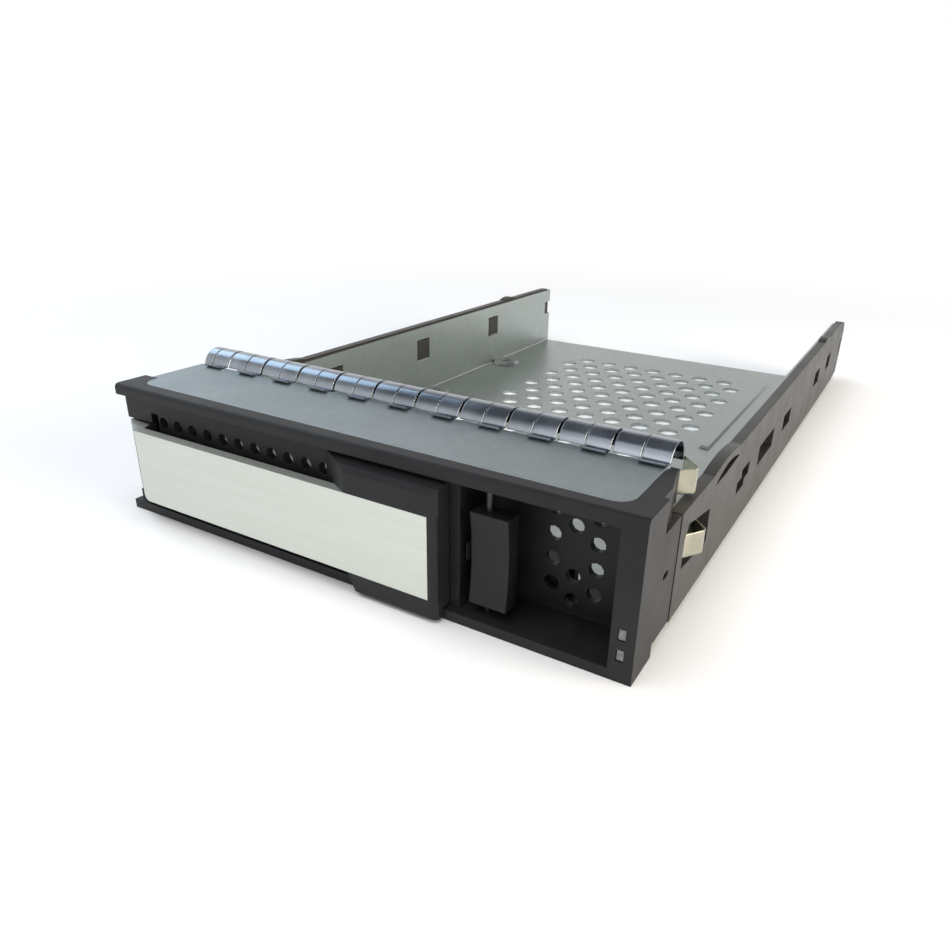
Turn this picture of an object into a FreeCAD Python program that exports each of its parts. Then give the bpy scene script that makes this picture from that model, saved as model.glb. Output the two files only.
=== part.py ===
import FreeCAD, Part
import math
import os

# Hot swap caddy for a 3.5-inch disk drive, in millimetres.
# X runs to the right as seen from the front, Y from the front to the rear, Z up.
# Y is measured from the front lip of the bezel, and export moves the origin to mid-length.

# Clearances
FIT = 0.1
SLIP = 0.05
RUNNING = 0.3

# Folded sheet-metal tray
TRAY_WIDTH = 104.0
TRAY_LENGTH = 172.0
TRAY_WALL_HEIGHT = 20.3
SHEET = 0.8
BEND_RADIUS = 0.5

# Round vents in the tray floor, in a hexagonal field
FLOOR_VENT_DIAMETER = 5.0
FLOOR_VENT_PITCH = 8.15
FLOOR_VENT_ROW_PITCH = 7.12
FLOOR_VENT_ROWS = 14
FLOOR_VENT_COLUMNS = 7
FLOOR_VENT_MARGIN = 21.3
FLOOR_VENT_SIDES = 8

# Raised pads that carry the drive, on the standard bottom hole pattern
DRIVE_HOLE_SPACING_X = 95.25
DRIVE_HOLE_SPACING_Y = 44.45
DRIVE_HOLE_MARGIN = 40.0
DRIVE_HOLE_DIAMETER = 3.9
PAD_DIAMETER = 7.6
PAD_HEIGHT = 0.8
PAD_SIDES = 10

# Stiffening bead in the tray floor
BEAD_INSET = 15.8
BEAD_LENGTH = 69.0
BEAD_MARGIN = 16.5
BEAD_WIDTH = 3.0
BEAD_HEIGHT = 0.6

# Moulded slide rails
RAIL_THICKNESS = 2.1
RAIL_BOTTOM = 2.0
RAIL_LIP = 0.5
RAIL_OVERHANG = 9.5
RAIL_NOSE = 8.0
LEFT_RAIL_OVERHANG = 0.0
LEFT_RAIL_NOSE = 2.0
RAIL_HUMP = 0.8
REAR_HUMP_MARGIN = 34.5
SNAP_PLACES = (44.5, 84.0, 125.5)
SNAP_LENGTH = 6.3
SNAP_BOTTOM = 10.5
SNAP_HEIGHT = 6.3
TAIL_NOTCH_LENGTH = 4.0
TAIL_NOTCH_HEIGHT = 4.4
FRONT_TAB_HEIGHT = 6.0

# Moulded bezel
HOOD_RISE = 5.5
CHEEK = 1.9
CHEEK_REAR = 15.3
CHEEK_BOTTOM = 2.3
FLANGE_DEPTH = 8.0
HOOD_REAR = 19.2
TOP_LIP = 2.1
LIP_ROUND = 0.9
SILL = 1.8
WALL_SETBACK = 1.8
WALL = 1.5
POST_WIDTH = 3.8
CAVITY_WIDTH = 26.2
CAVITY_DEPTH = 10.0
PANEL = 1.2
LEDGE = 1.6
RIM_REAR_STEP = 1.3
NUB_LENGTH = 2.2
NUB_HEIGHT = 0.9
NUB_PROUD = 1.2
NUB_Z = 13.0
NUB_Y_RIGHT = 10.6
NUB_Y_LEFT = 13.4

# Round vents in the bezel
PANEL_VENT_DIAMETER = 2.5
PANEL_VENT_PITCH_X = 7.4
PANEL_VENT_PITCH_Z = 4.4
PANEL_VENT_FIRST_X = 6.7
PANEL_VENT_FIRST_Z = 4.5
PANEL_VENT_SIDES = 10
FRONT_VENT_DIAMETER = 2.3
FRONT_VENT_PITCH = 4.04
FRONT_VENT_COLUMNS = 11
FRONT_VENT_ROWS = 2
FRONT_VENT_DROP = 4.6
FRONT_VENT_FIRST_X = 10.6
FRONT_VENT_SIDES = 8

# Indicator pipes in the right post
PIPE_WIDTH = 1.1
PIPE_HEIGHT = 1.85
PIPE_INSET = 2.1
PIPE_LOW_Z = 4.45
PIPE_HIGH_Z = 7.9
PIPE_RECESS = 0.3

# Galvanised shield over the bezel
SHIELD = 0.7
SHIELD_FRONT = 3.0
SHIELD_CORNER = 3.0
SHIELD_LEFT_INSET = 3.8
SHIELD_RIGHT_INSET = 3.9
SHIELD_EAR = 2.1
SHIELD_EAR_FRONT = 7.1
SHIELD_FLANGE_FRONT = 12.0
SHIELD_FLANGE_BOTTOM = 4.0

# Spring-finger contact strips
SPRING_SHEET = 0.2
ARCH_RADIUS = 3.6
ARCH_SINK = 0.9
ARCH_TAIL_ANGLE = -11.0
ARCH_SLIT_ANGLE = 60.0
FINGER_PITCH = 4.75
TAB_WIDTH = 4.4
TAB_OVERLAP = 1.5
TAB_CURL = 0.35
TAB_LIP = 0.4
TAB_LIP_DEPTH = 0.8
OPEN_SLIT = 0.5
CLOSED_SLIT = 0.2
SIDE_FINGER_WIDTH = 4.1
FINGER_CREST = 0.8
FINGER_BEND = 0.5
UPPER_FINGER_LIFT = 0.6
UPPER_FINGER_START = 0.5
UPPER_FINGER_SPAN = 7.0
UPPER_FINGER_CREST = 2.7
UPPER_FINGER_RISE = 3.4
LOWER_FINGER_Z = 10.9
LOWER_FINGER_START = 3.2
LOWER_FINGER_SPAN = 9.9
LOWER_FINGER_CREST = 5.2
LOWER_FINGER_RISE = 3.6
LOWER_FINGER_FOOT = 2.6

# Ejector lever
LEVER_PROUD = 2.2
LEVER_LIFT = 2.0
LEVER_HEIGHT = 14.84
LEVER_THICKNESS = 2.0
PLATE = 0.5
PLATE_BOTTOM_STEP = 0.28
PLATE_CORNER = 1.3
GRIP_BORDER = 1.6
GRIP_LENGTH = 17.7
GRIP_SLOPE = 1.8
GRIP_BOTTOM = 0.53
GRIP_TOP_CHAMFER = 1.4
GRIP_EDGE = 0.8
HINGE_INSET = 4.5
HINGE_DEPTH = 5.5
HINGE_PLAY = 0.4
HINGE_PIN_DIAMETER = 2.0
KNUCKLE_RADIUS = 3.5
FACE_OFFSET = 2.3
END_INSET = 0.5
CATCH_WIDTH = 2.0
CATCH_INSET = 2.7
CATCH_REACH = 6.5
CATCH_HEIGHT = 4.5

# Torsion spring round the hinge pin
LEVER_SPRING_WIRE = 0.6
LEVER_SPRING_LENGTH = 4.8
LEG_SIDES = 8
COIL_ROOM = 5.6

# Latch tab
TAB_LEFT = 2.0
TAB_SIZE_X = 6.6
TAB_BOTTOM = 2.0
TAB_SIZE_Z = 15.8
TAB_FRONT = 1.4
TAB_DEPTH = 3.4
TAB_DISH = 0.7
LATCH_PIN_INSET = 2.4
LATCH_PIN_DIAMETER = 1.2
LATCH_PIN_SEAT = 1.0
HOOK_HEIGHT = 3.0
HOOK_THICKNESS = 1.0
LEAF = 0.3
LEAF_WIDTH = 6.0
LEAF_GAP = 0.7
LEAF_REACH = 2.4

# Flat-head screws from the tray into the bezel
SCREW_INSET = 17.0
SCREW_DIAMETER = 2.9
SCREW_HEAD_DIAMETER = 5.5
SCREW_HEAD_HEIGHT = 1.3
SCREW_LENGTH = 7.5
BOSS_DIAMETER = 6.4
BOSS_HEIGHT = 6.0
BOSS_SIDES = 12

# Derived places
tray_half = TRAY_WIDTH / 2
rail_top = TRAY_WALL_HEIGHT + RAIL_LIP
bezel_height = rail_top + HOOD_RISE
half = tray_half + FIT + CHEEK
cavity_right = half - POST_WIDTH
cavity_left = cavity_right - CAVITY_WIDTH
wall_right = cavity_left - WALL
wall_back = WALL_SETBACK + WALL
ceiling = bezel_height - TOP_LIP
panel_back = CAVITY_DEPTH + PANEL
tray_front = panel_back + RUNNING
tray_rear = tray_front + TRAY_LENGTH
rail_front = CHEEK_REAR + RUNNING
rail_rear = tray_rear + RAIL_OVERHANG
shield_bottom = bezel_height - SHIELD
shield_rear = HOOD_REAR + 2 * FIT
shield_left = -half + SHIELD_LEFT_INSET
shield_right = half - SHIELD_RIGHT_INSET
ear_left = shield_left - SHIELD_EAR
flange_left = shield_right - SHIELD
inner_wall_face = flange_left - FIT
lever_face = -LEVER_PROUD
lever_back = lever_face + LEVER_THICKNESS
lever_bottom = SILL + LEVER_LIFT
lever_top = lever_bottom + LEVER_HEIGHT
lever_right = wall_right - RUNNING
hinge_x = -half + HINGE_INSET
pocket_floor = lever_bottom - HINGE_PLAY
pocket_top = lever_top + HINGE_PLAY
pocket_right = hinge_x + KNUCKLE_RADIUS + 1.0
pocket_back = HINGE_DEPTH + KNUCKLE_RADIUS + 0.7
face_left = hinge_x + FACE_OFFSET
face_right = lever_right - GRIP_BORDER
catch_right = lever_right - CATCH_INSET
catch_z = lever_bottom + LEVER_HEIGHT / 2
latch_x = cavity_left + TAB_LEFT + LATCH_PIN_INSET
latch_y = TAB_FRONT + TAB_DEPTH / 2 + 0.2
latch_z = SILL + TAB_BOTTOM
latch_mid = latch_z + TAB_SIZE_Z / 2
screw_x = tray_half - SCREW_INSET
screw_y = (tray_front + HOOD_REAR) / 2
ledge_top = SHEET + LEDGE
middle = (rail_rear - LEVER_PROUD) / 2

RIGHT = FreeCAD.Vector(1, 0, 0)
BACK = FreeCAD.Vector(0, 1, 0)
UP = FreeCAD.Vector(0, 0, 1)
FAR = 300.0


def block(x0, x1, y0, y1, z0, z1):
    corner = FreeCAD.Vector(x0, y0, z0)
    return Part.makeBox(x1 - x0, y1 - y0, z1 - z0, corner)


def rod(radius, x, y, z, length, direction=UP):
    return Part.makeCylinder(radius, length, FreeCAD.Vector(x, y, z), direction)


def plan(points, z0, z1):
    """Prism over an outline given as (x, y) corners."""
    corners = [FreeCAD.Vector(x, y, z0) for x, y in points]
    face = Part.Face(Part.makePolygon(corners + corners[:1]))
    return face.extrude(UP * (z1 - z0))


def side(points, x0, x1):
    """Prism along X over an outline given as (y, z) corners."""
    corners = [FreeCAD.Vector(x0, y, z) for y, z in points]
    face = Part.Face(Part.makePolygon(corners + corners[:1]))
    return face.extrude(RIGHT * (x1 - x0))


def front(points, y0, y1):
    """Prism along Y over an outline given as (x, z) corners."""
    corners = [FreeCAD.Vector(x, y0, z) for x, z in points]
    face = Part.Face(Part.makePolygon(corners + corners[:1]))
    return face.extrude(BACK * (y1 - y0))


def ring(sides, radius, centre, across, upward):
    """Closed outline with flat sides, whose area matches the circle of this radius."""
    step = 2 * math.pi / sides
    reach = radius * math.sqrt(step / math.sin(step))
    corners = []
    for index in range(sides):
        angle = (index + 0.5) * step
        corners.append(centre + across * (reach * math.cos(angle)) + upward * (reach * math.sin(angle)))
    return Part.makePolygon(corners + corners[:1])


def prism(sides, diameter, centre, direction, length):
    """Straight pillar with flat sides, for the many small vents and for plain posts."""
    upward = BACK if direction == UP else UP
    outline = ring(sides, diameter / 2, centre, RIGHT, upward)
    return Part.Face(outline).extrude(direction * length)


def join(shapes):
    return shapes[0].multiFuse(shapes[1:]).removeSplitter()


def rounded(shape, radius, wanted):
    """Fillet every edge whose middle point passes the test."""
    edges = []
    for edge in shape.Edges:
        if wanted(edge.CenterOfMass):
            edges.append(edge)
    return shape.makeFillet(radius, edges)


def mirrored(shape):
    return shape.mirror(FreeCAD.Vector(0, 0, 0), RIGHT)


def save(name, shape):
    moved = shape.copy()
    moved.translate(BACK * -middle)
    moved.exportStep("parts/" + name + ".step")


# ---------------------------------------------------------------- tray

def ridge(x, y0, y1, width, z0, z1):
    """Straight pressing with sloped sides and ends."""
    rise = z1 - z0
    foot = [(x - width / 2, y0), (x + width / 2, y0), (x + width / 2, y1), (x - width / 2, y1)]
    crown = [(x - width / 2 + rise, y0 + rise), (x + width / 2 - rise, y0 + rise),
             (x + width / 2 - rise, y1 - rise), (x - width / 2 + rise, y1 - rise)]
    wires = []
    for points, z in ((foot, z0), (crown, z1)):
        corners = [FreeCAD.Vector(px, py, z) for px, py in points]
        wires.append(Part.makePolygon(corners + corners[:1]))
    return Part.makeLoft(wires, True, True)


def floor_vents():
    cutters = []
    for row in range(FLOOR_VENT_ROWS):
        y = tray_rear - FLOOR_VENT_MARGIN - row * FLOOR_VENT_ROW_PITCH
        count = FLOOR_VENT_COLUMNS + row % 2
        for column in range(count):
            x = (column - (count - 1) / 2) * FLOOR_VENT_PITCH
            place = FreeCAD.Vector(x, y, -1)
            cutters.append(prism(FLOOR_VENT_SIDES, FLOOR_VENT_DIAMETER, place, UP, SHEET + 2))
    return cutters


def drive_hole_places():
    places = []
    for sign in (-1, 1):
        for step in (0, 1):
            y = tray_rear - DRIVE_HOLE_MARGIN - step * DRIVE_HOLE_SPACING_Y
            places.append((sign * DRIVE_HOLE_SPACING_X / 2, y))
    return places


def dimple(x, y, radius, z0, z1):
    """Pressed pad with sides at 45 degrees."""
    foot = ring(PAD_SIDES, radius + (z1 - z0), FreeCAD.Vector(x, y, z0), RIGHT, BACK)
    top = ring(PAD_SIDES, radius, FreeCAD.Vector(x, y, z1), RIGHT, BACK)
    return Part.makeLoft([foot, top], True, True)


def tray_nub(y, gap, length):
    """Pill-shaped nub on the right wall, or its slot when a gap is given."""
    r = NUB_HEIGHT / 2 + gap
    reach = (NUB_LENGTH - NUB_HEIGHT) / 2
    corners = []
    for end in (1, -1):
        for angle in (-90, -45, 0, 45, 90):
            turn = math.radians(angle)
            corners.append((y + end * (reach + r * math.cos(turn)), NUB_Z + end * r * math.sin(turn)))
    start = tray_half - SHEET / 2
    return side(corners, start, start + length)


def tray_pan():
    outer = block(-tray_half, tray_half, tray_front, tray_rear, 0, TRAY_WALL_HEIGHT)
    outer = rounded(outer, BEND_RADIUS + SHEET, lambda p: p.z < 0.01 and abs(p.y - tray_front) > 1
                    and abs(p.y - tray_rear) > 1)
    inner_half = tray_half - SHEET
    room = block(-inner_half, inner_half, tray_front - 1, tray_rear + 1, SHEET, FAR)
    room = rounded(room, BEND_RADIUS, lambda p: abs(p.z - SHEET) < 0.01 and abs(p.x) > 1)
    pan = outer.cut(room)

    # The right wall reaches forward behind the post to take its nub
    tab = block(inner_half, tray_half, NUB_Y_RIGHT - NUB_LENGTH, tray_front + 1, NUB_Z - FRONT_TAB_HEIGHT / 2,
                NUB_Z + FRONT_TAB_HEIGHT / 2)
    nub_length = SHEET / 2 + NUB_PROUD
    pan = join([pan, tab, tray_nub(NUB_Y_RIGHT, 0, nub_length),
                mirrored(tray_nub(NUB_Y_LEFT, 0, nub_length))])

    bead_x = tray_half - BEAD_INSET
    bead_rear = tray_rear - BEAD_MARGIN
    bead = ridge(bead_x, bead_rear - BEAD_LENGTH, bead_rear, BEAD_WIDTH, SHEET, SHEET + BEAD_HEIGHT)
    groove = ridge(bead_x, bead_rear - BEAD_LENGTH + SHEET / 2, bead_rear - SHEET / 2,
                   BEAD_WIDTH - SHEET, 0, BEAD_HEIGHT)
    pads = []
    cutters = floor_vents() + [groove]
    for x, y in drive_hole_places():
        pads.append(dimple(x, y, PAD_DIAMETER / 2, SHEET, SHEET + PAD_HEIGHT))
        hollow = PAD_DIAMETER / 2 - SHEET / 2
        cutters.append(dimple(x, y, hollow, 0, PAD_HEIGHT))
        cutters.append(rod(DRIVE_HOLE_DIAMETER / 2, x, y, -1, SHEET + PAD_HEIGHT + 2))
    pan = join([pan, bead] + pads)

    for sign in (-1, 1):
        cutters.append(screw_head(sign * screw_x, SLIP))
        for place in SNAP_PLACES:
            y = tray_front + place
            wall_inner = sign * (inner_half - 1)
            wall_outer = sign * (tray_half + 1)
            x0 = min(wall_inner, wall_outer)
            x1 = max(wall_inner, wall_outer)
            top = SNAP_BOTTOM + SNAP_HEIGHT
            cutters.append(block(x0, x1, y, y + SNAP_LENGTH, SNAP_BOTTOM, top))
        notch_z = SNAP_BOTTOM + 1.1
        cutters.append(block(x0, x1, tray_rear - TAIL_NOTCH_LENGTH, FAR,
                             notch_z, notch_z + TAIL_NOTCH_HEIGHT))
    return pan.cut(cutters)


# ---------------------------------------------------------------- rails

def rail_outline(rear, nose):
    """Edge of a rail, from the bottom front corner, as (y, z) corners and arcs."""
    def at(y, z):
        return FreeCAD.Vector(tray_half, y, z)

    hump_start = rail_front + 17.0
    hump_length = 18.0
    rear_hump = tray_rear - REAR_HUMP_MARGIN
    taper = nose / RAIL_NOSE
    low = at(rail_front, RAIL_BOTTOM)
    high = at(rail_front, rail_top)
    hump_in = at(hump_start, rail_top)
    hump_mid = at(hump_start + hump_length / 2, rail_top + RAIL_HUMP)
    hump_out = at(hump_start + hump_length, rail_top)
    bump_in = at(rear_hump, rail_top)
    bump_mid = at(rear_hump + 4.0, rail_top + RAIL_HUMP)
    bump_out = at(rear_hump + 8.0, rail_top)
    nose_top = at(rear - nose, rail_top)
    nose_tip = at(rear - 2.5 * taper, rail_top - 1.1 * taper)
    nose_high = at(rear, rail_top - 4.0 * taper)
    nose_low = at(rear, RAIL_BOTTOM + 6.0 * taper)
    heel = at(rear - 0.6 * taper, RAIL_BOTTOM + 0.8 * taper)
    heel_in = at(rear - 7.0 * taper, RAIL_BOTTOM)
    parts = [
        Part.makeLine(low, high),
        Part.makeLine(high, hump_in),
        Part.Arc(hump_in, hump_mid, hump_out).toShape(),
        Part.makeLine(hump_out, bump_in),
        Part.Arc(bump_in, bump_mid, bump_out).toShape(),
        Part.makeLine(bump_out, nose_top),
        Part.makeLine(nose_top, nose_tip),
        Part.makeLine(nose_tip, nose_high),
        Part.makeLine(nose_high, nose_low),
        Part.makeLine(nose_low, heel),
        Part.makeLine(heel, heel_in),
        Part.makeLine(heel_in, low),
    ]
    return Part.Face(Part.Wire(parts))


def crescent_slit():
    """Slit under the hump that lets the top edge of the rail flex."""
    start = rail_front + 18.4
    finish = start + 16.4
    level = rail_top - 2.3

    def at(y, z):
        return FreeCAD.Vector(tray_half - 1, y, z)

    upper = Part.Arc(at(start, level), at((start + finish) / 2, level + 1.6), at(finish, level + 0.4))
    lower = Part.Arc(at(start, level), at((start + finish) / 2, level - 0.1), at(finish, level + 0.4))
    face = Part.Face(Part.Wire([upper.toShape(), lower.toShape()]))
    return face.extrude(RIGHT * (RAIL_THICKNESS + 2))


def rail_windows(rear):
    """Openings through a rail as long as this, placed from its front end."""
    low = RAIL_BOTTOM
    outlines = [
        [(2.9, 8.1), (2.9, 13.4), (4.6, 15.3), (17.0, 13.0), (17.5, 6.9), (15.6, 5.6), (10.0, 7.3)],
        [(37.0, 7.7), (37.0, 10.2), (40.2, 10.2), (40.2, 11.9), (46.2, 11.9), (46.2, 9.2),
         (43.0, 9.2), (43.0, 7.7)],
        [(54.9, 7.6), (54.9, 12.0), (69.4, 12.0), (69.4, 7.6)],
        [(80.9, 7.5), (80.9, 11.4), (89.7, 11.4), (89.7, 7.5)],
        [(124.4, 7.7), (124.4, 11.9), (132.4, 11.9), (132.4, 7.7)],
        [(145.4, 8.0), (145.4, 12.2), (152.4, 12.2), (152.4, 8.0)],
        [(172.4, 7.4), (172.4, 12.8), (174.4, 12.8), (174.4, 7.4)],
    ]
    cutters = []
    for outline in outlines:
        corners = [(rail_front + y, low + z) for y, z in outline]
        if corners[0][0] < rear:
            cutters.append(side(corners, tray_half - 0.01, tray_half + RAIL_THICKNESS + 1))
    return cutters


def slide_rail(rear, nose):
    """Rail for the right side, which the left one mirrors."""
    rail = rail_outline(rear, nose).extrude(RIGHT * RAIL_THICKNESS)
    rail = rail.cut(rail_windows(rear) + [crescent_slit()])
    snaps = []
    for place in SNAP_PLACES:
        y = tray_front + place + RUNNING
        length = SNAP_LENGTH - 2 * RUNNING
        bottom = SNAP_BOTTOM + RUNNING
        height = SNAP_HEIGHT - 2 * RUNNING
        snaps.append(block(tray_half - SHEET, tray_half, y, y + length, bottom, bottom + height))
    return join([rail] + snaps)


# ---------------------------------------------------------------- bezel

def flange_ring():
    """Front flange with its lips, closed on the right by the post."""
    body = block(-half, half, 0, FLANGE_DEPTH, 0, bezel_height)
    body = rounded(body, LIP_ROUND, lambda p: p.y < 0.01 and p.z > bezel_height - 0.01)
    window = block(-FAR, cavity_right, -1, FLANGE_DEPTH + 1, SILL, ceiling)
    return body.cut(window)


def left_side_wall():
    return block(-half, -half + WALL, WALL_SETBACK, FLANGE_DEPTH, SILL, ceiling)


def front_wall():
    return block(-half, wall_right, WALL_SETBACK, wall_back, SILL, ceiling)


def latch_cavity_walls():
    left = block(wall_right, cavity_left, WALL_SETBACK, panel_back, SILL, ceiling)
    panel = block(wall_right, cavity_right, CAVITY_DEPTH, panel_back, SILL, ceiling)
    right = block(cavity_right, tray_half - SHEET - FIT, FLANGE_DEPTH - 1, panel_back, SILL, ceiling)
    return [left, panel, right]


def hinge_pocket_walls():
    right_wall = pocket_right + WALL
    below = block(-half, right_wall, wall_back - FIT, panel_back, 0, pocket_floor)
    above = block(-half, right_wall, wall_back - FIT, panel_back, pocket_top, ceiling)
    back = block(-half, right_wall, pocket_back, panel_back, 0, ceiling)
    right = block(pocket_right, right_wall, wall_back - FIT, panel_back, 0, ceiling)
    return [below, above, back, right]


def hood_top():
    """Roof plate with the side rims that carry the shield."""
    rim = half - 0.9
    inner = shield_right + FIT
    left_edge = ear_left + SHIELD + FIT
    roof = [(left_edge, FLANGE_DEPTH - 1), (rim, FLANGE_DEPTH - 1), (rim, FLANGE_DEPTH + 4),
            (rim - RIM_REAR_STEP, HOOD_REAR - RIM_REAR_STEP), (rim - RIM_REAR_STEP, HOOD_REAR),
            (left_edge, HOOD_REAR)]
    plate = plan(roof, ceiling, shield_bottom)
    rim_line = [(inner, FLANGE_DEPTH - 1)] + roof[1:5] + [(inner, HOOD_REAR)]
    right = plan(rim_line, rail_top, bezel_height)
    left = block(left_edge, left_edge + WALL, FLANGE_DEPTH - 1, HOOD_REAR, rail_top, ceiling)
    return [plate, right, left]


def hood_floor():
    """Bottom plate, and the ledge that rests on the front of the tray floor."""
    inner = inner_wall_face
    outer = tray_half - SHEET - FIT
    bottom = block(-outer, outer, FLANGE_DEPTH - 1, panel_back, 0, SILL)
    riser = block(-inner, inner, CAVITY_DEPTH, panel_back, 0, ledge_top)
    ledge = block(-inner, inner, CAVITY_DEPTH, HOOD_REAR, SHEET, ledge_top)
    cheeks_in = [block(inner - WALL, inner, CAVITY_DEPTH, HOOD_REAR, SHEET, ceiling),
                 block(-inner, -inner + WALL, CAVITY_DEPTH, HOOD_REAR, SHEET, ceiling)]
    bosses = []
    for sign in (-1, 1):
        foot = FreeCAD.Vector(sign * screw_x, screw_y, SHEET)
        bosses.append(prism(BOSS_SIDES, BOSS_DIAMETER, foot, UP, LEDGE + BOSS_HEIGHT))
    return [bottom, riser, ledge] + cheeks_in + bosses


def cheek(y0):
    """Side cheek on the right, outside the tray wall."""
    return block(tray_half + FIT, half, y0, CHEEK_REAR, CHEEK_BOTTOM, rail_top)


def panel_vents():
    """Staggered vents behind the finger recess: full outer columns, sparse middle one."""
    places = []
    right_column = cavity_right - PANEL_VENT_FIRST_X
    for row in range(4):
        z = SILL + PANEL_VENT_FIRST_Z + row * PANEL_VENT_PITCH_Z
        for column in (0, 1):
            x = right_column - column * PANEL_VENT_PITCH_X
            places.append(FreeCAD.Vector(x, CAVITY_DEPTH - 1, z))
        if row != 2:
            x = right_column - PANEL_VENT_PITCH_X / 2
            z = z - PANEL_VENT_PITCH_Z / 2
            places.append(FreeCAD.Vector(x, CAVITY_DEPTH - 1, z))
    return [prism(PANEL_VENT_SIDES, PANEL_VENT_DIAMETER, p, BACK, PANEL + 2) for p in places]


def front_vents():
    cutters = []
    for row in range(FRONT_VENT_ROWS):
        z = ceiling - FRONT_VENT_DROP - row * PANEL_VENT_PITCH_Z
        for column in range(FRONT_VENT_COLUMNS):
            x = -half + FRONT_VENT_FIRST_X + column * FRONT_VENT_PITCH
            place = FreeCAD.Vector(x, WALL_SETBACK - 1, z)
            cutters.append(prism(FRONT_VENT_SIDES, FRONT_VENT_DIAMETER, place, BACK, WALL + 1))
    return cutters


def pipe_window(z, gap):
    x = half - PIPE_INSET
    w = PIPE_WIDTH / 2 + gap
    h = PIPE_HEIGHT / 2 + gap
    return block(x - w, x + w, -1, FLANGE_DEPTH + 1, z - h, z + h)


def bezel_cutters():
    cutters = panel_vents() + front_vents()
    cutters.append(block(-FAR, pocket_right, -1, pocket_back, pocket_floor, pocket_top))
    cutters.append(block(pocket_right - 1.8, pocket_right + 0.2, 0, wall_back, lever_top, lever_top + 2.5))
    cutters.append(pipe_window(PIPE_LOW_Z, SLIP))
    cutters.append(pipe_window(PIPE_HIGH_Z, SLIP))
    # Hinge and latch pin seats
    cutters.append(rod(HINGE_PIN_DIAMETER / 2 + SLIP, hinge_x, HINGE_DEPTH, 1.0, ceiling - 2.0))
    cutters.append(rod(LATCH_PIN_DIAMETER / 2 + SLIP, latch_x, latch_y, SILL - LATCH_PIN_SEAT,
                       ceiling - SILL + 2 * LATCH_PIN_SEAT))
    # Window for the catch of the lever
    cutters.append(block(catch_right - CATCH_WIDTH - 0.6, catch_right + 0.6, 0, wall_back + 1,
                         catch_z - CATCH_HEIGHT / 2 - 0.6, catch_z + CATCH_HEIGHT / 2 + 0.6))
    # Slot for the right flange of the shield, and the step for its left ear
    cutters.append(block(inner_wall_face, shield_right + FIT, SHIELD_FLANGE_FRONT - FIT, FAR,
                         ledge_top, FAR))
    # Room for the foot of the upper side finger
    cutters.append(block(shield_right, shield_right + SPRING_SHEET + FIT,
                         shield_rear - TAB_OVERLAP - FIT, FAR, rail_top, FAR))
    cutters.append(block(-FAR, ear_left + SHIELD + FIT, SHIELD_EAR_FRONT - FIT, FAR,
                         rail_top, FAR))
    cutters.append(tray_nub(NUB_Y_RIGHT, FIT, SHEET + CHEEK + FIT))
    cutters.append(mirrored(tray_nub(NUB_Y_LEFT, FIT, SHEET + CHEEK + FIT)))
    for sign in (-1, 1):
        cutters.append(screw_head(sign * screw_x, 0))
        cutters.append(rod(SCREW_DIAMETER / 2 + SLIP, sign * screw_x, screw_y, 0, SCREW_LENGTH + 0.3))
    return cutters


def shield_outline():
    return [(shield_left, SHIELD_FRONT), (shield_right, SHIELD_FRONT),
            (shield_right, SHIELD_FLANGE_FRONT), (flange_left, SHIELD_FLANGE_FRONT),
            (flange_left, shield_rear), (ear_left, shield_rear),
            (ear_left, SHIELD_EAR_FRONT), (shield_left, SHIELD_EAR_FRONT)]


def shield_plate(z1):
    plate = plan(shield_outline(), shield_bottom, z1)
    return rounded(plate, SHIELD_CORNER, lambda p: abs(p.y - SHIELD_FRONT) < 0.01
                   and abs(p.z - (shield_bottom + z1) / 2) < 0.01)


def bezel_frame():
    pieces = [flange_ring(), left_side_wall(), front_wall(), cheek(FLANGE_DEPTH - 1),
              mirrored(cheek(pocket_back))]
    pieces += latch_cavity_walls() + hinge_pocket_walls() + hood_top() + hood_floor()
    return join(pieces).cut(bezel_cutters() + [shield_plate(FAR)])


def light_pipe(z):
    x = half - PIPE_INSET
    return block(x - PIPE_WIDTH / 2, x + PIPE_WIDTH / 2, PIPE_RECESS, FLANGE_DEPTH,
                 z - PIPE_HEIGHT / 2, z + PIPE_HEIGHT / 2)


# ---------------------------------------------------------------- shield and contact strips

def shield_cover():
    """Flat cover with a flange down its right side and an ear on its left, each over a bend."""
    flange = block(flange_left, shield_right, SHIELD_FLANGE_FRONT, shield_rear,
                   SHIELD_FLANGE_BOTTOM, bezel_height)
    ear = block(ear_left, ear_left + SHIELD, SHIELD_EAR_FRONT, shield_rear,
                rail_top + FIT, bezel_height)
    crown = bezel_height - 0.01
    flange = rounded(flange, SHIELD * 0.6, lambda p: p.z > crown and p.x > shield_right - 0.01)
    ear = rounded(ear, SHIELD * 0.6, lambda p: p.z > crown and p.x < ear_left + 0.01)
    plate = shield_plate(bezel_height)
    return join([plate.cut(block(-FAR, ear_left + SHIELD, 0, FAR, 0, FAR)), flange, ear])


def arch_point(centre, outward, radius, angle):
    turn = math.radians(angle)
    return centre + BACK * (radius * math.cos(turn)) + outward * (radius * math.sin(turn))


def arch(centre, outward, along, width, radius, start, finish):
    """Curved band of spring sheet, swept round a centre and as wide as given."""
    middle_angle = (start + finish) / 2
    corners = []
    for r in (radius, radius - SPRING_SHEET):
        corners.append([arch_point(centre, outward, r, a) for a in (start, middle_angle, finish)])
    outer, inner = corners
    edges = [
        Part.Arc(*outer).toShape(),
        Part.makeLine(outer[2], inner[2]),
        Part.Arc(*inner).toShape(),
        Part.makeLine(inner[0], outer[0]),
    ]
    return Part.Face(Part.Wire(edges)).extrude(along * width)


def arch_start():
    return 180 - math.degrees(math.asin(ARCH_SINK / ARCH_RADIUS))


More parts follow.
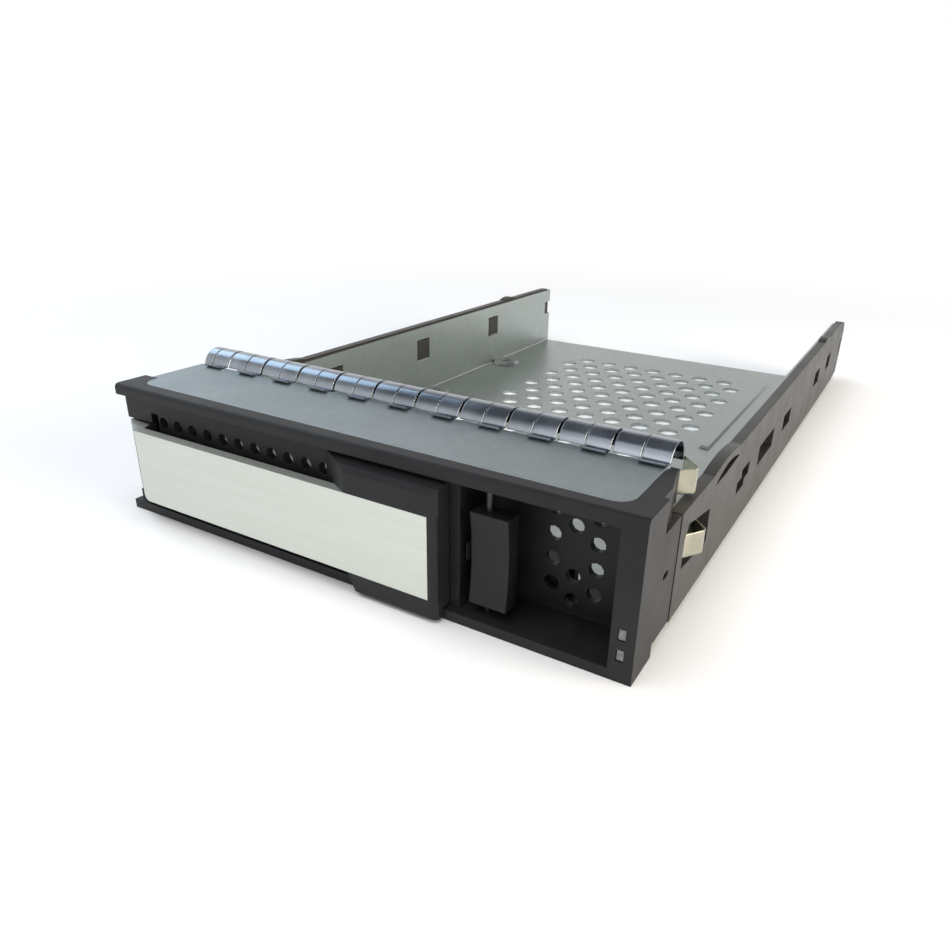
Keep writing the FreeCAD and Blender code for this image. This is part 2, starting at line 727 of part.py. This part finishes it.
def curled_tab(x0, x1):
    """Tab that lies on the shield and turns up into a thick lip at its front edge."""
    tip = shield_rear - TAB_OVERLAP
    root = shield_rear + 0.85
    low = bezel_height + TAB_CURL
    outline = [(root, bezel_height), (tip + TAB_LIP_DEPTH, bezel_height), (tip, low),
               (tip, low + TAB_LIP), (tip + SPRING_SHEET, low + TAB_LIP),
               (tip + TAB_LIP_DEPTH + SPRING_SHEET, bezel_height + SPRING_SHEET),
               (root, bezel_height + SPRING_SHEET)]
    return side(outline, x0, x1)


def emi_gasket_top():
    left = ear_left + RUNNING
    right = shield_right - FIT
    centre_y = shield_rear + 0.6 + ARCH_RADIUS * math.cos(math.asin(ARCH_SINK / ARCH_RADIUS))
    centre = FreeCAD.Vector(left, centre_y, bezel_height - ARCH_SINK)
    strip = arch(centre, UP, RIGHT, right - left, ARCH_RADIUS, arch_start(), ARCH_TAIL_ANGLE)
    tabs = []
    slits = []
    slit_end = centre_y + ARCH_RADIUS * math.cos(math.radians(ARCH_SLIT_ANGLE))
    tab_count = int((right - left - TAB_WIDTH - 2 * FIT) / (2 * FINGER_PITCH)) + 1
    for index in range(tab_count):
        x1 = right - FIT - index * 2 * FINGER_PITCH
        x0 = x1 - TAB_WIDTH
        tabs.append(curled_tab(x0, x1))
        slits.append(block(x0 - FIT - CLOSED_SLIT, x0 - FIT, 0, slit_end, ceiling, FAR))
        open_x = x0 - FIT - FINGER_PITCH
        if open_x - OPEN_SLIT > left:
            slits.append(block(open_x - OPEN_SLIT, open_x, 0, slit_end, ceiling, FAR))
    return join([strip] + tabs).cut(slits)


def bent_finger(base, y0, y1, crest_y, rise, bottom):
    """Finger that leaves a flat side at y0, peaks over a short crest and comes back at y1."""
    top = base + rise - SPRING_SHEET
    points = [(base, y0), (top, crest_y), (top, crest_y + FINGER_CREST), (base, y1)]
    corners = [FreeCAD.Vector(x, y, bottom) for x, y in points]
    band = Part.makePolygon(corners).makeOffset2D(SPRING_SHEET, 0, True, True)
    finger = band.extrude(UP * SIDE_FINGER_WIDTH)
    level = bottom + SIDE_FINGER_WIDTH / 2
    return rounded(finger, FINGER_BEND, lambda p: p.x > base + rise / 2 and abs(p.z - level) < 0.01)


def emi_gasket_side_upper():
    """Finger clipped to the right flange of the shield."""
    bottom = rail_top + UPPER_FINGER_LIFT
    y0 = shield_rear + UPPER_FINGER_START
    band = bent_finger(shield_right, y0, y0 + UPPER_FINGER_SPAN, y0 + UPPER_FINGER_CREST,
                       UPPER_FINGER_RISE, bottom)
    foot = block(shield_right, shield_right + SPRING_SHEET, shield_rear - TAB_OVERLAP,
                 y0 + SPRING_SHEET, bottom, bottom + SIDE_FINGER_WIDTH)
    return join([band, foot])


def emi_gasket_side_lower():
    """Finger on the tray wall that stands out through the front window of the right rail."""
    y0 = rail_front + LOWER_FINGER_START
    y1 = y0 + LOWER_FINGER_SPAN
    band = bent_finger(tray_half, y0, y1, y0 + LOWER_FINGER_CREST, LOWER_FINGER_RISE, LOWER_FINGER_Z)
    foot = block(tray_half, tray_half + SPRING_SHEET, y1 - SPRING_SHEET, y1 + LOWER_FINGER_FOOT,
                 LOWER_FINGER_Z, LOWER_FINGER_Z + SIDE_FINGER_WIDTH)
    return join([band, foot])


# ---------------------------------------------------------------- lever

def lever_end():
    """Plan outline of the hinged end, from the slanted front face to the knuckle."""
    return [(face_left - 0.3, lever_face + PLATE), (-half + END_INSET, WALL_SETBACK),
            (hinge_x - KNUCKLE_RADIUS, HINGE_DEPTH), (hinge_x + KNUCKLE_RADIUS, HINGE_DEPTH),
            (face_left + 0.5, lever_back), (face_left + 0.5, lever_face + PLATE)]


def grip_block():
    """Raised grip at the free end: a section along X trimmed by a plan with a slanted left side."""
    back = WALL_SETBACK - RUNNING
    top = ceiling - 0.5
    left = lever_right - GRIP_LENGTH
    bottom_gap = SILL + 0.4
    section = [(lever_face, GRIP_BOTTOM + 0.3), (lever_face, top - GRIP_TOP_CHAMFER),
               (lever_face + 0.8, top - 0.6), (back, top), (back, bottom_gap),
               (-RUNNING, bottom_gap), (-RUNNING, GRIP_BOTTOM), (lever_face + 0.3, GRIP_BOTTOM)]
    depth = back - lever_face
    outline = [(left, lever_face), (lever_right - GRIP_EDGE, lever_face),
               (lever_right, lever_face + GRIP_EDGE), (lever_right, back),
               (left - depth * GRIP_SLOPE, back)]
    body = side(section, left - depth * GRIP_SLOPE - 1, lever_right + 1)
    body = body.common(plan(outline, 0, ceiling))
    corner = [(left - FAR, 0), (left + 1.8, 0), (left, lever_bottom), (left - FAR, lever_bottom)]
    return body.cut(front(corner, lever_face - 1, back + 1))


def lever_body():
    bar = block(face_left, lever_right, lever_face + PLATE, lever_back, lever_bottom, lever_top)
    end = plan(lever_end(), lever_bottom, lever_top)
    knuckle = rod(KNUCKLE_RADIUS, hinge_x, HINGE_DEPTH, lever_bottom, LEVER_HEIGHT)
    catch = block(catch_right - CATCH_WIDTH, catch_right, lever_back - 0.1, CATCH_REACH,
                  catch_z - CATCH_HEIGHT / 2, catch_z + CATCH_HEIGHT / 2)
    body = join([bar, end, knuckle, grip_block(), catch])
    coil_room = rod(KNUCKLE_RADIUS + 0.1, hinge_x, HINGE_DEPTH, catch_z - COIL_ROOM / 2, COIL_ROOM)
    bore = rod(HINGE_PIN_DIAMETER / 2 + SLIP, hinge_x, HINGE_DEPTH, 0, FAR)
    notch = block(catch_right - 0.8, catch_right + 1, CATCH_REACH - 2.6, CATCH_REACH - 1.2,
                  catch_z - CATCH_HEIGHT, catch_z + CATCH_HEIGHT)
    return body.cut([coil_room, bore, notch, face_plate_shape()])


def face_plate_shape():
    """Bright sheet over the front of the lever, folded back over its top edge."""
    low = lever_bottom + PLATE_BOTTOM_STEP
    plate = block(face_left, face_right, lever_face, lever_face + PLATE, low, lever_top)
    plate = rounded(plate, PLATE_CORNER, lambda p: abs(p.x - face_left) < 0.01
                    and abs(p.z - low) < 0.01)
    left = lever_right - GRIP_LENGTH
    reach = left - LEVER_THICKNESS * GRIP_SLOPE
    ledge = [(face_left - 0.3, lever_face), (left, lever_face), (reach, lever_back),
             (face_left + 0.4, lever_back), (face_left - 0.6, WALL_SETBACK),
             (-half + END_INSET, WALL_SETBACK)]
    return join([plate, plan(ledge, lever_top - PLATE, lever_top)])


def lever_pivot_pin():
    return rod(HINGE_PIN_DIAMETER / 2, hinge_x, HINGE_DEPTH, 1.0, ceiling - 2.0)


def lever_spring():
    """Close-wound torsion spring: a sleeve with one leg to the lever and one to the bezel."""
    wire = LEVER_SPRING_WIRE
    inner = HINGE_PIN_DIAMETER / 2 + SLIP * 2
    bottom = catch_z - LEVER_SPRING_LENGTH / 2
    coil = rod(inner + wire, hinge_x, HINGE_DEPTH, bottom, LEVER_SPRING_LENGTH)
    coil = coil.cut(rod(inner, hinge_x, HINGE_DEPTH, bottom, LEVER_SPRING_LENGTH))
    lane = inner + wire / 2
    top = bottom + LEVER_SPRING_LENGTH
    bezel_end = FreeCAD.Vector(hinge_x + lane, HINGE_DEPTH, bottom + wire / 2)
    lever_end_y = HINGE_DEPTH - KNUCKLE_RADIUS + 0.7
    free_end = FreeCAD.Vector(hinge_x - lane, lever_end_y, top - wire / 2)
    to_bezel = prism(LEG_SIDES, wire, bezel_end, BACK, pocket_back - HINGE_DEPTH)
    to_lever = prism(LEG_SIDES, wire, free_end, BACK, HINGE_DEPTH - lever_end_y)
    return join([coil, to_bezel, to_lever])


# ---------------------------------------------------------------- latch

def latch_button():
    left = cavity_left + TAB_LEFT
    tab = block(left, left + TAB_SIZE_X, TAB_FRONT, TAB_FRONT + TAB_DEPTH,
                latch_z, latch_z + TAB_SIZE_Z)
    radius = (TAB_SIZE_Z ** 2 / 4 + TAB_DISH ** 2) / (2 * TAB_DISH)
    dish = rod(radius, left - 1, TAB_FRONT - radius + TAB_DISH, latch_mid, TAB_SIZE_X + 2, RIGHT)
    tip = cavity_left + 2 * RUNNING
    rear = TAB_FRONT + TAB_DEPTH
    outline = [(left + 1, rear - HOOK_THICKNESS), (left + 1, rear), (tip, rear),
               (tip, rear - 2 * HOOK_THICKNESS), (tip + 0.5, rear - HOOK_THICKNESS)]
    hook = plan(outline, latch_mid - HOOK_HEIGHT / 2, latch_mid + HOOK_HEIGHT / 2)
    bore = rod(LATCH_PIN_DIAMETER / 2 + SLIP, latch_x, latch_y, 0, FAR)
    return join([tab.cut(dish), hook]).cut(bore)


def latch_pivot_pin():
    return rod(LATCH_PIN_DIAMETER / 2, latch_x, latch_y, SILL - LATCH_PIN_SEAT,
               ceiling - SILL + 2 * LATCH_PIN_SEAT)


def latch_spring():
    """Bent leaf that stands on the back panel behind the tab."""
    tip_y = TAB_FRONT + TAB_DEPTH + LEAF_GAP
    heel = latch_x - LEAF_REACH / 2
    toe = heel + LEAF_REACH
    outline = [(toe, CAVITY_DEPTH), (heel, CAVITY_DEPTH), (heel, CAVITY_DEPTH - LEAF),
               (toe - LEAF, tip_y), (toe + LEAF, tip_y), (heel + 2 * LEAF, CAVITY_DEPTH - LEAF),
               (toe, CAVITY_DEPTH - LEAF)]
    return plan(outline, latch_mid - LEAF_WIDTH / 2, latch_mid + LEAF_WIDTH / 2)


# ---------------------------------------------------------------- screws

def screw_head(x, gap):
    base = FreeCAD.Vector(x, screw_y, 0)
    return Part.makeCone(SCREW_HEAD_DIAMETER / 2 + gap, SCREW_DIAMETER / 2 + gap,
                         SCREW_HEAD_HEIGHT, base, UP)


def bezel_screw(x):
    body = join([screw_head(x, 0), rod(SCREW_DIAMETER / 2, x, screw_y, 0, SCREW_LENGTH)])
    slot = 0.35
    arm = 1.4
    cross = [block(x - arm, x + arm, screw_y - slot, screw_y + slot, -1, 0.9),
             block(x - slot, x + slot, screw_y - arm, screw_y + arm, -1, 0.9)]
    return body.cut(cross)


os.makedirs("parts", exist_ok=True)
save("bezel_frame", bezel_frame())
save("shield_cover", shield_cover())
save("emi_gasket_top", emi_gasket_top())
save("emi_gasket_side_upper", emi_gasket_side_upper())
save("emi_gasket_side_lower", emi_gasket_side_lower())
save("tray_pan", tray_pan())
save("rail_right", slide_rail(rail_rear, RAIL_NOSE))
save("rail_left", mirrored(slide_rail(tray_rear + LEFT_RAIL_OVERHANG, LEFT_RAIL_NOSE)))
save("light_pipe_upper", light_pipe(PIPE_HIGH_Z))
save("light_pipe_lower", light_pipe(PIPE_LOW_Z))
save("lever_body", lever_body())
save("lever_face_plate", face_plate_shape())
save("lever_pivot_pin", lever_pivot_pin())
save("lever_spring", lever_spring())
save("latch_button", latch_button())
save("latch_pivot_pin", latch_pivot_pin())
save("latch_spring", latch_spring())
save("bezel_screw_left", bezel_screw(-screw_x))
save("bezel_screw_right", bezel_screw(screw_x))
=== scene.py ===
import bpy
import math
from mathutils import Matrix, Vector


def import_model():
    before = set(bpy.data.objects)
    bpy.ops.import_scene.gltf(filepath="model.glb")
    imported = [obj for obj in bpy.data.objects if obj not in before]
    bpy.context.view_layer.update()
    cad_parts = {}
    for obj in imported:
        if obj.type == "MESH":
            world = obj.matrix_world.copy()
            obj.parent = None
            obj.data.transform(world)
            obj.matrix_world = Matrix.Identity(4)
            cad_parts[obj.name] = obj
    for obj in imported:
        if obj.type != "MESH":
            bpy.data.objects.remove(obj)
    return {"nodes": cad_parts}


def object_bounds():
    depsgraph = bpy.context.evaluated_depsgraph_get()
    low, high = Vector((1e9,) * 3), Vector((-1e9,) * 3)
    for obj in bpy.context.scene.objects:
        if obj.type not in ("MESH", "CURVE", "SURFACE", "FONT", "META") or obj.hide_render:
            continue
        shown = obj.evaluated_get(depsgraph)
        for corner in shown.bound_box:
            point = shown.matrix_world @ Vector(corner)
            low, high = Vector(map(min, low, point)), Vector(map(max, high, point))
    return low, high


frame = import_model()
nodes = frame["nodes"]
cad_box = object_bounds()

# Every length is in metres, in the frame of the CAD model.
MM = 0.001

# Noise textures stay mostly between these values.
NOISE_LOW = 0.3
NOISE_HIGH = 0.7

# The floor lies just under the object, and fades to white between these distances from its middle.
FLOOR_HALF = 3.0
FLOOR_GAP = 0.05 * MM
FADE_START = 0.11
FADE_END = 0.34

# A mirror sees white below the first height and the dim overhead colour above the second.
SKY_SLOPE = (0.12, 0, 1)
SKY_LOW = 0.30
SKY_HIGH = 0.75
SKY_OVERHEAD = (0.17, 0.18, 0.20, 1)
SKY_HORIZON = (0.52, 0.52, 0.51, 1)
WHITE = (1, 1, 1, 1)

# How far a lamp stands from what it lights, and how wide it is, unless it says otherwise.
LAMP_DISTANCE = 0.9
LAMP_SIZE = 0.8

# The camera stands at the front right and looks down across the bezel.
CAMERA_PLACE = (0.07938, -0.18035, 0.06903)
CAMERA_AZIMUTH = math.radians(29.8)
CAMERA_ELEVATION = math.radians(23.94)
CAMERA_ROLL = math.radians(1.51)
CAMERA_LENS = 28.53
CAMERA_SHIFT = (-0.0181, 0.0098)
SENSOR_WIDTH = 36
CLIP_START = 0.01


# ---------------------------------------------------------------- node helpers

def math_node(tree, operation, first, second):
    """Result of one calculation on two outputs."""
    node = tree.nodes.new("ShaderNodeMath")
    node.operation = operation
    tree.links.new(first, node.inputs[0])
    tree.links.new(second, node.inputs[1])
    return node.outputs["Value"]


def mix_node(tree, value, first, second):
    """Colour between two others, each a plain colour or an output."""
    node = tree.nodes.new("ShaderNodeMix")
    node.data_type = "RGBA"
    tree.links.new(value, node.inputs["Factor"])
    for name, color in (("A", first), ("B", second)):
        if isinstance(color, tuple):
            node.inputs[name].default_value = color
        else:
            tree.links.new(color, node.inputs[name])
    return node.outputs["Result"]


def seen_ray(tree):
    """One for rays from the camera and off shiny or clear surfaces, and nought for the rest."""
    path = tree.nodes.new("ShaderNodeLightPath")
    total = path.outputs["Is Camera Ray"]
    for kind in ("Is Glossy Ray", "Is Transmission Ray"):
        total = math_node(tree, "MAXIMUM", total, path.outputs[kind])
    return total


class Surface:
    """One procedural material and short ways to add and join its nodes."""

    def __init__(self, name, color, metallic, roughness):
        self.material = bpy.data.materials.new(name)
        self.material.use_nodes = True
        self.tree = self.material.node_tree
        self.nodes = self.tree.nodes
        self.links = self.tree.links
        self.shader = self.nodes["Principled BSDF"]
        self.shader.inputs["Base Color"].default_value = (*color, 1)
        self.shader.inputs["Metallic"].default_value = metallic
        self.shader.inputs["Roughness"].default_value = roughness
        self.place = self.nodes.new("ShaderNodeTexCoord").outputs["Object"]

    def stretched(self, x, y, z):
        """Object coordinates scaled along each axis."""
        mapping = self.nodes.new("ShaderNodeMapping")
        mapping.inputs["Scale"].default_value = (x, y, z)
        self.links.new(self.place, mapping.inputs["Vector"])
        return mapping.outputs["Vector"]

    def noise(self, size, detail=2.0, place=None):
        """Cloudy pattern with blotches of about the given size."""
        texture = self.nodes.new("ShaderNodeTexNoise")
        texture.inputs["Scale"].default_value = 1 / size
        texture.inputs["Detail"].default_value = detail
        self.links.new(place or self.place, texture.inputs["Vector"])
        return texture.outputs["Fac"]

    def spangle(self, size):
        """Crystal pattern of zinc plating, as a grey value per crystal."""
        texture = self.nodes.new("ShaderNodeTexVoronoi")
        texture.inputs["Scale"].default_value = 1 / size
        self.links.new(self.place, texture.inputs["Vector"])
        grey = self.nodes.new("ShaderNodeRGBToBW")
        self.links.new(texture.outputs["Color"], grey.inputs["Color"])
        return grey.outputs["Val"]

    def ranged(self, value, low, high, source_low=NOISE_LOW, source_high=NOISE_HIGH):
        """The value mapped from its own range to low...high."""
        node = self.nodes.new("ShaderNodeMapRange")
        node.inputs["From Min"].default_value = source_low
        node.inputs["From Max"].default_value = source_high
        node.inputs["To Min"].default_value = low
        node.inputs["To Max"].default_value = high
        self.links.new(value, node.inputs["Value"])
        return node.outputs["Result"]

    def blended(self, value, first, second):
        """Colour between two others, chosen by the value."""
        return mix_node(self.tree, value, (*first, 1), (*second, 1))

    def set(self, name, output):
        """Drives one input of the shader."""
        self.links.new(output, self.shader.inputs[name])

    def relief(self, height, depth, strength=1.0, edge=0.0):
        """Bump of the given depth, over edges softened by the given radius."""
        bump = self.nodes.new("ShaderNodeBump")
        bump.inputs["Distance"].default_value = depth
        bump.inputs["Strength"].default_value = strength
        self.links.new(height, bump.inputs["Height"])
        if edge > 0:
            bevel = self.nodes.new("ShaderNodeBevel")
            bevel.samples = 4
            bevel.inputs["Radius"].default_value = edge
            self.links.new(bevel.outputs["Normal"], bump.inputs["Normal"])
        self.set("Normal", bump.outputs["Normal"])


# ---------------------------------------------------------------- materials

def moulded_plastic(name, dark, light, roughness, sheen):
    """Charcoal moulding with a fine spark-eroded grain."""
    surface = Surface(name, dark, 0.0, roughness)
    surface.shader.inputs["Specular IOR Level"].default_value = sheen
    cloud = surface.noise(9 * MM, 3.0)
    grain = surface.noise(0.22 * MM, 2.0)
    surface.set("Base Color", surface.blended(surface.ranged(cloud, 0, 1), dark, light))
    surface.set("Roughness", surface.ranged(cloud, roughness - 0.05, roughness + 0.06))
    surface.relief(grain, 0.02 * MM, 0.35, edge=0.22 * MM)
    return surface.material


def galvanised(name, dull, bright, roughness):
    """Zinc-plated sheet with faint crystals and rolling marks."""
    surface = Surface(name, bright, 1.0, roughness)
    crystals = surface.spangle(1.6 * MM)
    cloud = surface.noise(12 * MM, 4.0)
    speckle = surface.noise(0.35 * MM, 2.0)
    facets = surface.ranged(crystals, -0.125, 0.125, 0.2, 0.8)
    tone = math_node(surface.tree, "ADD", facets, surface.ranged(cloud, 0.3, 0.7))
    surface.set("Base Color", surface.blended(tone, dull, bright))
    surface.set("Roughness", surface.ranged(speckle, roughness - 0.05, roughness + 0.08))
    surface.relief(speckle, 0.01 * MM, 0.25, edge=0.15 * MM)
    return surface.material


def brushed(name, dull, bright, roughness):
    """Satin metal face brushed along X."""
    surface = Surface(name, bright, 0.7, roughness)
    surface.shader.inputs["Anisotropic"].default_value = 0.6
    hairs = surface.noise(1.0, 3.0, surface.stretched(60, 9000, 9000))
    streaks = surface.noise(1.0, 2.0, surface.stretched(14, 1400, 1400))
    surface.set("Base Color", surface.blended(surface.ranged(hairs, 0, 1), dull, bright))
    surface.set("Roughness", surface.ranged(streaks, roughness - 0.05, roughness + 0.07))
    surface.relief(hairs, 0.01 * MM, 0.12, edge=0.12 * MM)
    return surface.material


def spring_metal(name, dull, bright, roughness):
    """Thin bright sheet with a faint handling haze."""
    surface = Surface(name, bright, 1.0, roughness)
    haze = surface.noise(5 * MM, 4.0)
    scratches = surface.noise(1.0, 2.0, surface.stretched(700, 90, 700))
    surface.set("Base Color", surface.blended(surface.ranged(haze, 0, 1), dull, bright))
    surface.set("Roughness", surface.ranged(haze, roughness - 0.04, roughness + 0.08))
    surface.relief(scratches, 0.006 * MM, 0.3, edge=0.3 * MM)
    return surface.material


def turned_steel(name, color, roughness):
    """Turned pins and drawn wire, with fine rings along their length."""
    surface = Surface(name, color, 1.0, roughness)
    rings = surface.noise(1.0, 2.0, surface.stretched(300, 300, 9000))
    dark = tuple(0.75 * channel for channel in color)
    surface.set("Base Color", surface.blended(surface.ranged(rings, 0, 1), dark, color))
    surface.relief(rings, 0.006 * MM, 0.3)
    return surface.material


def frosted_clear(name, dark, light):
    """Cloudy clear plastic of the indicator pipes."""
    surface = Surface(name, dark, 0.0, 0.35)
    surface.shader.inputs["Transmission Weight"].default_value = 0.3
    surface.shader.inputs["Subsurface Weight"].default_value = 0.2
    surface.shader.inputs["Subsurface Scale"].default_value = 1 * MM
    cloud = surface.noise(0.8 * MM, 2.0)
    surface.set("Base Color", surface.blended(surface.ranged(cloud, 0, 1), dark, light))
    surface.relief(cloud, 0.03 * MM, 0.4, edge=0.12 * MM)
    return surface.material


def dress(names, material):
    """Gives CAD nodes one material in place of their plain one."""
    for name in names:
        mesh = nodes[name].data
        mesh.materials.clear()
        mesh.materials.append(material)


def dress_all():
    """Chooses a material for every CAD node."""
    charcoal = moulded_plastic(
        "charcoal", (0.013, 0.013, 0.014), (0.019, 0.019, 0.020), roughness=0.46, sheen=0.22)
    rail_black = moulded_plastic(
        "rail_black", (0.021, 0.020, 0.018), (0.029, 0.027, 0.024), roughness=0.42, sheen=0.30)
    tray_zinc = galvanised(
        "tray_zinc", (0.34, 0.37, 0.35), (0.43, 0.47, 0.45), roughness=0.36)
    shield_zinc = galvanised(
        "shield_zinc", (0.32, 0.36, 0.37), (0.41, 0.455, 0.465), roughness=0.50)
    brushed_face = brushed(
        "brushed_face", (0.60, 0.625, 0.565), (0.65, 0.68, 0.63), roughness=0.36)
    # The gasket tin comes in two copies of one spring metal: this darker blue-grey one for the top
    # gasket, and a lighter beige one for the side fingers. The difference between their base
    # colours is painted reflection: dim on the top gasket, warm and bright on the side fingers.
    tin_plate = spring_metal(
        "tin_plate", (0.25, 0.275, 0.305), (0.34, 0.37, 0.41), roughness=0.2)
    side_tin_painted_reflection = spring_metal(
        "side_tin_painted_reflection", (0.34, 0.33, 0.26), (0.44, 0.42, 0.34), roughness=0.26)
    frosted_pipe = frosted_clear("frosted_pipe", (0.20, 0.21, 0.20), (0.42, 0.43, 0.42))
    pin_steel = turned_steel("pin_steel", (0.07, 0.07, 0.075), roughness=0.4)
    spring_wire = turned_steel("spring_wire", (0.55, 0.54, 0.52), roughness=0.28)
    screw_nickel = turned_steel("screw_nickel", (0.58, 0.57, 0.54), roughness=0.3)

    dress(["bezel_frame", "lever_body", "latch_button"], charcoal)
    dress(["rail_left", "rail_right"], rail_black)
    dress(["tray_pan"], tray_zinc)
    dress(["shield_cover"], shield_zinc)
    dress(["lever_face_plate"], brushed_face)
    dress(["emi_gasket_top"], tin_plate)
    # The side fingers get the lighter copy of the tin. Its beige tone is painted warm reflection.
    dress(["emi_gasket_side_upper", "emi_gasket_side_lower"], side_tin_painted_reflection)
    dress(["light_pipe_upper", "light_pipe_lower"], frosted_pipe)
    dress(["lever_pivot_pin", "latch_pivot_pin"], pin_steel)
    dress(["lever_spring", "latch_spring"], spring_wire)
    dress(["bezel_screw_left", "bezel_screw_right"], screw_nickel)


# ---------------------------------------------------------------- studio

def floor():
    """Plain white table that keeps the shadow near the object and fades to white further out."""
    mesh = bpy.data.meshes.new("floor")
    sides = [(-1, -1), (1, -1), (1, 1), (-1, 1)]
    corners = [(x * FLOOR_HALF, y * FLOOR_HALF, 0) for x, y in sides]
    mesh.from_pydata(corners, [], [(0, 1, 2, 3)])
    table = bpy.data.objects.new("floor", mesh)
    bpy.context.scene.collection.objects.link(table)
    table.location.z = cad_box[0].z - FLOOR_GAP
    surface = Surface("pale_floor", (0.94, 0.935, 0.93), 0.0, 0.7)
    mottle = surface.ranged(surface.noise(0.05, 3.0), 0, 1)
    surface.set("Base Color", surface.blended(mottle, (0.935, 0.93, 0.925), (0.95, 0.945, 0.94)))
    distance = surface.nodes.new("ShaderNodeVectorMath")
    distance.operation = "LENGTH"
    surface.links.new(surface.place, distance.inputs[0])
    fade = surface.ranged(distance.outputs["Value"], 0, 1, FADE_START, FADE_END)
    fade.node.interpolation_type = "SMOOTHSTEP"
    white = surface.nodes.new("ShaderNodeEmission")
    mix = surface.nodes.new("ShaderNodeMixShader")
    far = math_node(surface.tree, "MULTIPLY", fade, seen_ray(surface.tree))
    surface.links.new(far, mix.inputs["Fac"])
    surface.links.new(surface.shader.outputs["BSDF"], mix.inputs[1])
    surface.links.new(white.outputs["Emission"], mix.inputs[2])
    surface.links.new(mix.outputs["Shader"], surface.nodes["Material Output"].inputs["Surface"])
    mesh.materials.append(surface.material)


def world():
    """White where the camera looks and at the horizon that metal mirrors, dimmer overhead."""
    scene_world = bpy.data.worlds.new("studio")
    scene_world.use_nodes = True
    tree = scene_world.node_tree
    new = tree.nodes.new
    height = new("ShaderNodeVectorMath")
    height.operation = "DOT_PRODUCT"
    height.inputs[1].default_value = SKY_SLOPE
    tree.links.new(new("ShaderNodeTexCoord").outputs["Generated"], height.inputs[0])
    horizon = new("ShaderNodeMapRange")
    horizon.interpolation_type = "SMOOTHSTEP"
    horizon.inputs["From Min"].default_value = SKY_LOW
    horizon.inputs["From Max"].default_value = SKY_HIGH
    horizon.inputs["To Min"].default_value = 1
    horizon.inputs["To Max"].default_value = 0
    tree.links.new(height.outputs["Value"], horizon.inputs["Value"])
    sky = mix_node(tree, horizon.outputs["Result"], SKY_OVERHEAD, SKY_HORIZON)
    mirrored = math_node(tree, "MULTIPLY", horizon.outputs["Result"], seen_ray(tree))
    camera_ray = new("ShaderNodeLightPath").outputs["Is Camera Ray"]
    shown = math_node(tree, "MAXIMUM", mirrored, camera_ray)
    background = tree.nodes["Background"]
    tree.links.new(mix_node(tree, shown, sky, WHITE), background.inputs["Color"])
    background.inputs["Strength"].default_value = 1.0
    bpy.context.scene.world = scene_world


def softbox(name, aim, azimuth, elevation, power, color, mirrored,
            distance=LAMP_DISTANCE, size=LAMP_SIZE):
    """Square area lamp that looks at a point, and may be kept out of reflections."""
    turn = math.radians(azimuth)
    tilt = math.radians(elevation)
    level = math.cos(tilt)
    away = Vector((math.sin(turn) * level, -math.cos(turn) * level, math.sin(tilt)))
    data = bpy.data.lights.new(name, "AREA")
    data.size = size
    data.energy = power
    data.color = color
    lamp = bpy.data.objects.new(name, data)
    bpy.context.scene.collection.objects.link(lamp)
    lamp.location = aim + away * distance
    lamp.rotation_euler = (-away).to_track_quat("-Z", "Y").to_euler()
    lamp.visible_glossy = mirrored


def lamps():
    """Soft light from above and in front, a cool window on the left and a warm one on the right."""
    low, high = cad_box
    centre = (low + high) / 2
    front_right = Vector((high.x, low.y + 0.3 * (high.y - low.y), centre.z))
    softbox("overhead", centre, -20, 75, power=5.4, color=(0.96, 0.98, 1.0), mirrored=False)
    softbox("front_fill", centre, 5, 40, power=2.0, color=(0.97, 0.98, 1.0), mirrored=True)
    softbox("left_window", centre, -98, 40, power=1.4, color=(0.60, 0.80, 1.0), mirrored=True,
            size=0.45)
    softbox("right_window", front_right, 92, 10, power=4.8, color=(1.0, 0.90, 0.76), mirrored=True,
            distance=0.5, size=0.35)


def camera():
    """Looks down and across from the right of the front, through a wide lens."""
    data = bpy.data.cameras.new("camera")
    data.sensor_width = SENSOR_WIDTH
    data.lens = CAMERA_LENS
    data.shift_x, data.shift_y = CAMERA_SHIFT
    data.clip_start = CLIP_START
    eye = bpy.data.objects.new("camera", data)
    bpy.context.scene.collection.objects.link(eye)
    aimed = Matrix.Rotation(CAMERA_AZIMUTH, 4, "Z")
    aimed = aimed @ Matrix.Rotation(math.pi / 2 - CAMERA_ELEVATION, 4, "X")
    aimed = aimed @ Matrix.Rotation(CAMERA_ROLL, 4, "Z")
    eye.matrix_world = Matrix.Translation(Vector(CAMERA_PLACE)) @ aimed
    bpy.context.scene.camera = eye


dress_all()
floor()
world()
lamps()
camera()
bpy.context.scene.view_settings.view_transform = "Standard"
